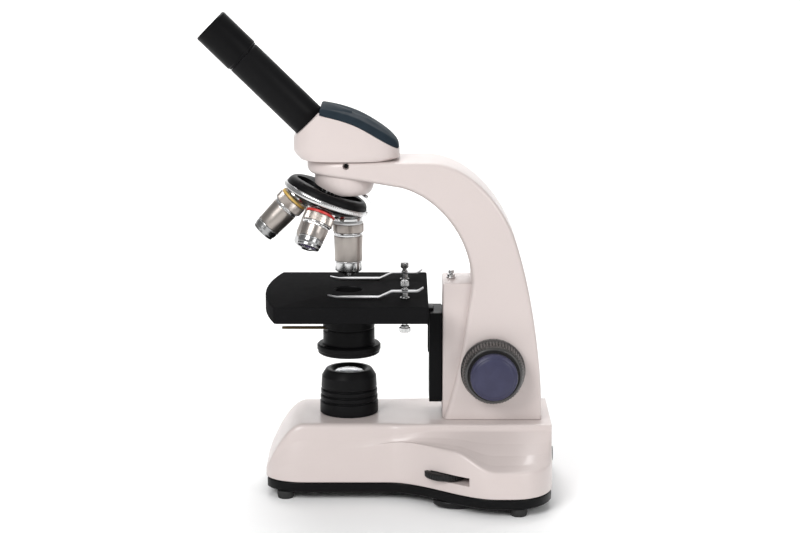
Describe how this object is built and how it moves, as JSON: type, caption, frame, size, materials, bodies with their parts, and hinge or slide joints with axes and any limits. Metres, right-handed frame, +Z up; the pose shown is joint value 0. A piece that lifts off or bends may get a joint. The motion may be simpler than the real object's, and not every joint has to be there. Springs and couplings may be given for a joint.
{
  "type": "microscope",
  "caption": "Student compound microscope with a lit base, rack-focused stage, turning nosepiece and an inclined single eyepiece tube.",
  "frame": {"origin": "on the table under the middle of the object's box", "axes": "+X from the eyepiece side towards the arm, +Y to the left of the user, +Z up along the optical axis"},
  "size_m": [0.2624, 0.174, 0.3589],
  "materials": {
    "paint": "satin",
    "black_paint": "satin",
    "stage_black": "satin",
    "rubber": "matte",
    "black_plastic": "satin",
    "slate": "satin",
    "chrome": "polished",
    "satin_metal": "satin",
    "steel": "satin",
    "brass": "satin",
    "glass": "polished",
    "circuit": "matte"
  },
  "bodies": {
    "base": {"base_shell": "paint", "base_plate": "black_paint", "dimmer_cover": "black_plastic", "foot_front_left": "rubber", "foot_front_right": "rubber", "foot_rear_left": "rubber", "foot_rear_right": "rubber", "circuit_board": "circuit", "dimmer_pot": "black_plastic", "dc_jack": "black_plastic", "lamp_housing": "black_paint", "lamp_lens": "glass", "led_module": "circuit", "arm": "paint", "arm_bolt_front": "steel", "arm_bolt_rear": "steel", "stop_screw": "chrome", "head_screw": "steel", "shaft_bush_left": "brass", "shaft_bush_right": "brass", "nosepiece_mount": "paint", "turret_pivot": "steel", "click_spring": "chrome"},
    "dimmer": {"dimmer_wheel": "black_plastic"},
    "column": {"slide_column": "black_paint", "rack": "brass"},
    "stage": {"stage_plate": "stage_black", "stage_bracket": "black_paint", "clip_post_left": "chrome", "clip_post_right": "chrome", "clip_nut_left": "chrome", "clip_nut_right": "chrome", "condenser_body": "black_paint", "condenser_lens": "glass"},
    "clip_left": {"clip_leaf_left": "chrome"},
    "clip_right": {"clip_leaf_right": "chrome"},
    "iris": {"iris_lever": "brass"},
    "coarse_drive": {"pinion_shaft": "steel", "coarse_knob_left": "black_plastic", "coarse_knob_right": "black_plastic"},
    "fine_drive": {"fine_shaft": "steel", "fine_knob_left": "slate", "fine_knob_right": "slate"},
    "turret": {"turret": "black_paint", "turret_rim": "chrome", "objective_4x": "satin_metal", "objective_4x_lens": "glass", "objective_10x": "satin_metal", "objective_10x_lens": "glass", "objective_40x": "satin_metal", "objective_40x_lens": "glass", "objective_100x": "satin_metal", "objective_100x_lens": "glass"},
    "head": {"head_body": "paint", "head_cap": "slate", "prism": "glass", "eyepiece_tube": "black_paint"},
    "eyepiece": {"eyepiece_body": "black_plastic", "eye_lens": "glass", "field_lens": "glass"}
  },
  "joints": [
    {"name": "coarse_travel", "type": "slide", "parent": "base", "child": "column", "axis": [0, 0, 1], "range_m": [-0.01, 0.01]},
    {"name": "coarse_knob_turn", "type": "hinge", "parent": "base", "child": "coarse_drive", "pos_m": [0.08617, 0, 0.096], "axis": [0, 1, 0], "range_deg": [-92, 92]},
    {"name": "fine_knob_turn", "type": "hinge", "parent": "base", "child": "fine_drive", "pos_m": [0.08617, 0, 0.096], "axis": [0, 1, 0], "range_deg": [-720, 720]},
    {"name": "fine_travel", "type": "slide", "parent": "column", "child": "stage", "axis": [0, 0, 1], "range_m": [-0.001, 0.001]},
    {"name": "turret_turn", "type": "hinge", "parent": "base", "child": "turret", "pos_m": [-0.02133, 0, 0.2623], "axis": [-0.3714, 0, -0.9285], "continuous": true},
    {"name": "head_turn", "type": "hinge", "parent": "base", "child": "head", "pos_m": [-0.02133, 0, 0.251], "axis": [0, 0, 1], "continuous": true},
    {"name": "eyepiece_lift", "type": "slide", "parent": "head", "child": "eyepiece", "axis": [-0.7145, 0, 0.6997], "range_m": [0, 0.02]},
    {"name": "clip_left_swing", "type": "hinge", "parent": "stage", "child": "clip_left", "pos_m": [0.02067, 0.033, 0.156], "axis": [0, 0, 1], "range_deg": [-60, 16]},
    {"name": "clip_right_swing", "type": "hinge", "parent": "stage", "child": "clip_right", "pos_m": [0.02067, -0.033, 0.156], "axis": [0, 0, 1], "range_deg": [-16, 60]},
    {"name": "iris_turn", "type": "hinge", "parent": "stage", "child": "iris", "pos_m": [-0.02133, 0, 0.122], "axis": [0, 0, 1], "range_deg": [-26, 26]},
    {"name": "dimmer_turn", "type": "hinge", "parent": "base", "child": "dimmer", "pos_m": [0.05117, -0.0546, 0.0249], "axis": [0, 0, 1], "range_deg": [0, 270]}
  ],
  "couplings": [
    {"joint": "coarse_knob_turn", "follows": "coarse_travel", "rad_per_m": 156.25},
    {"joint": "fine_knob_turn", "follows": "fine_travel", "rad_per_m": 12566}
  ]
}
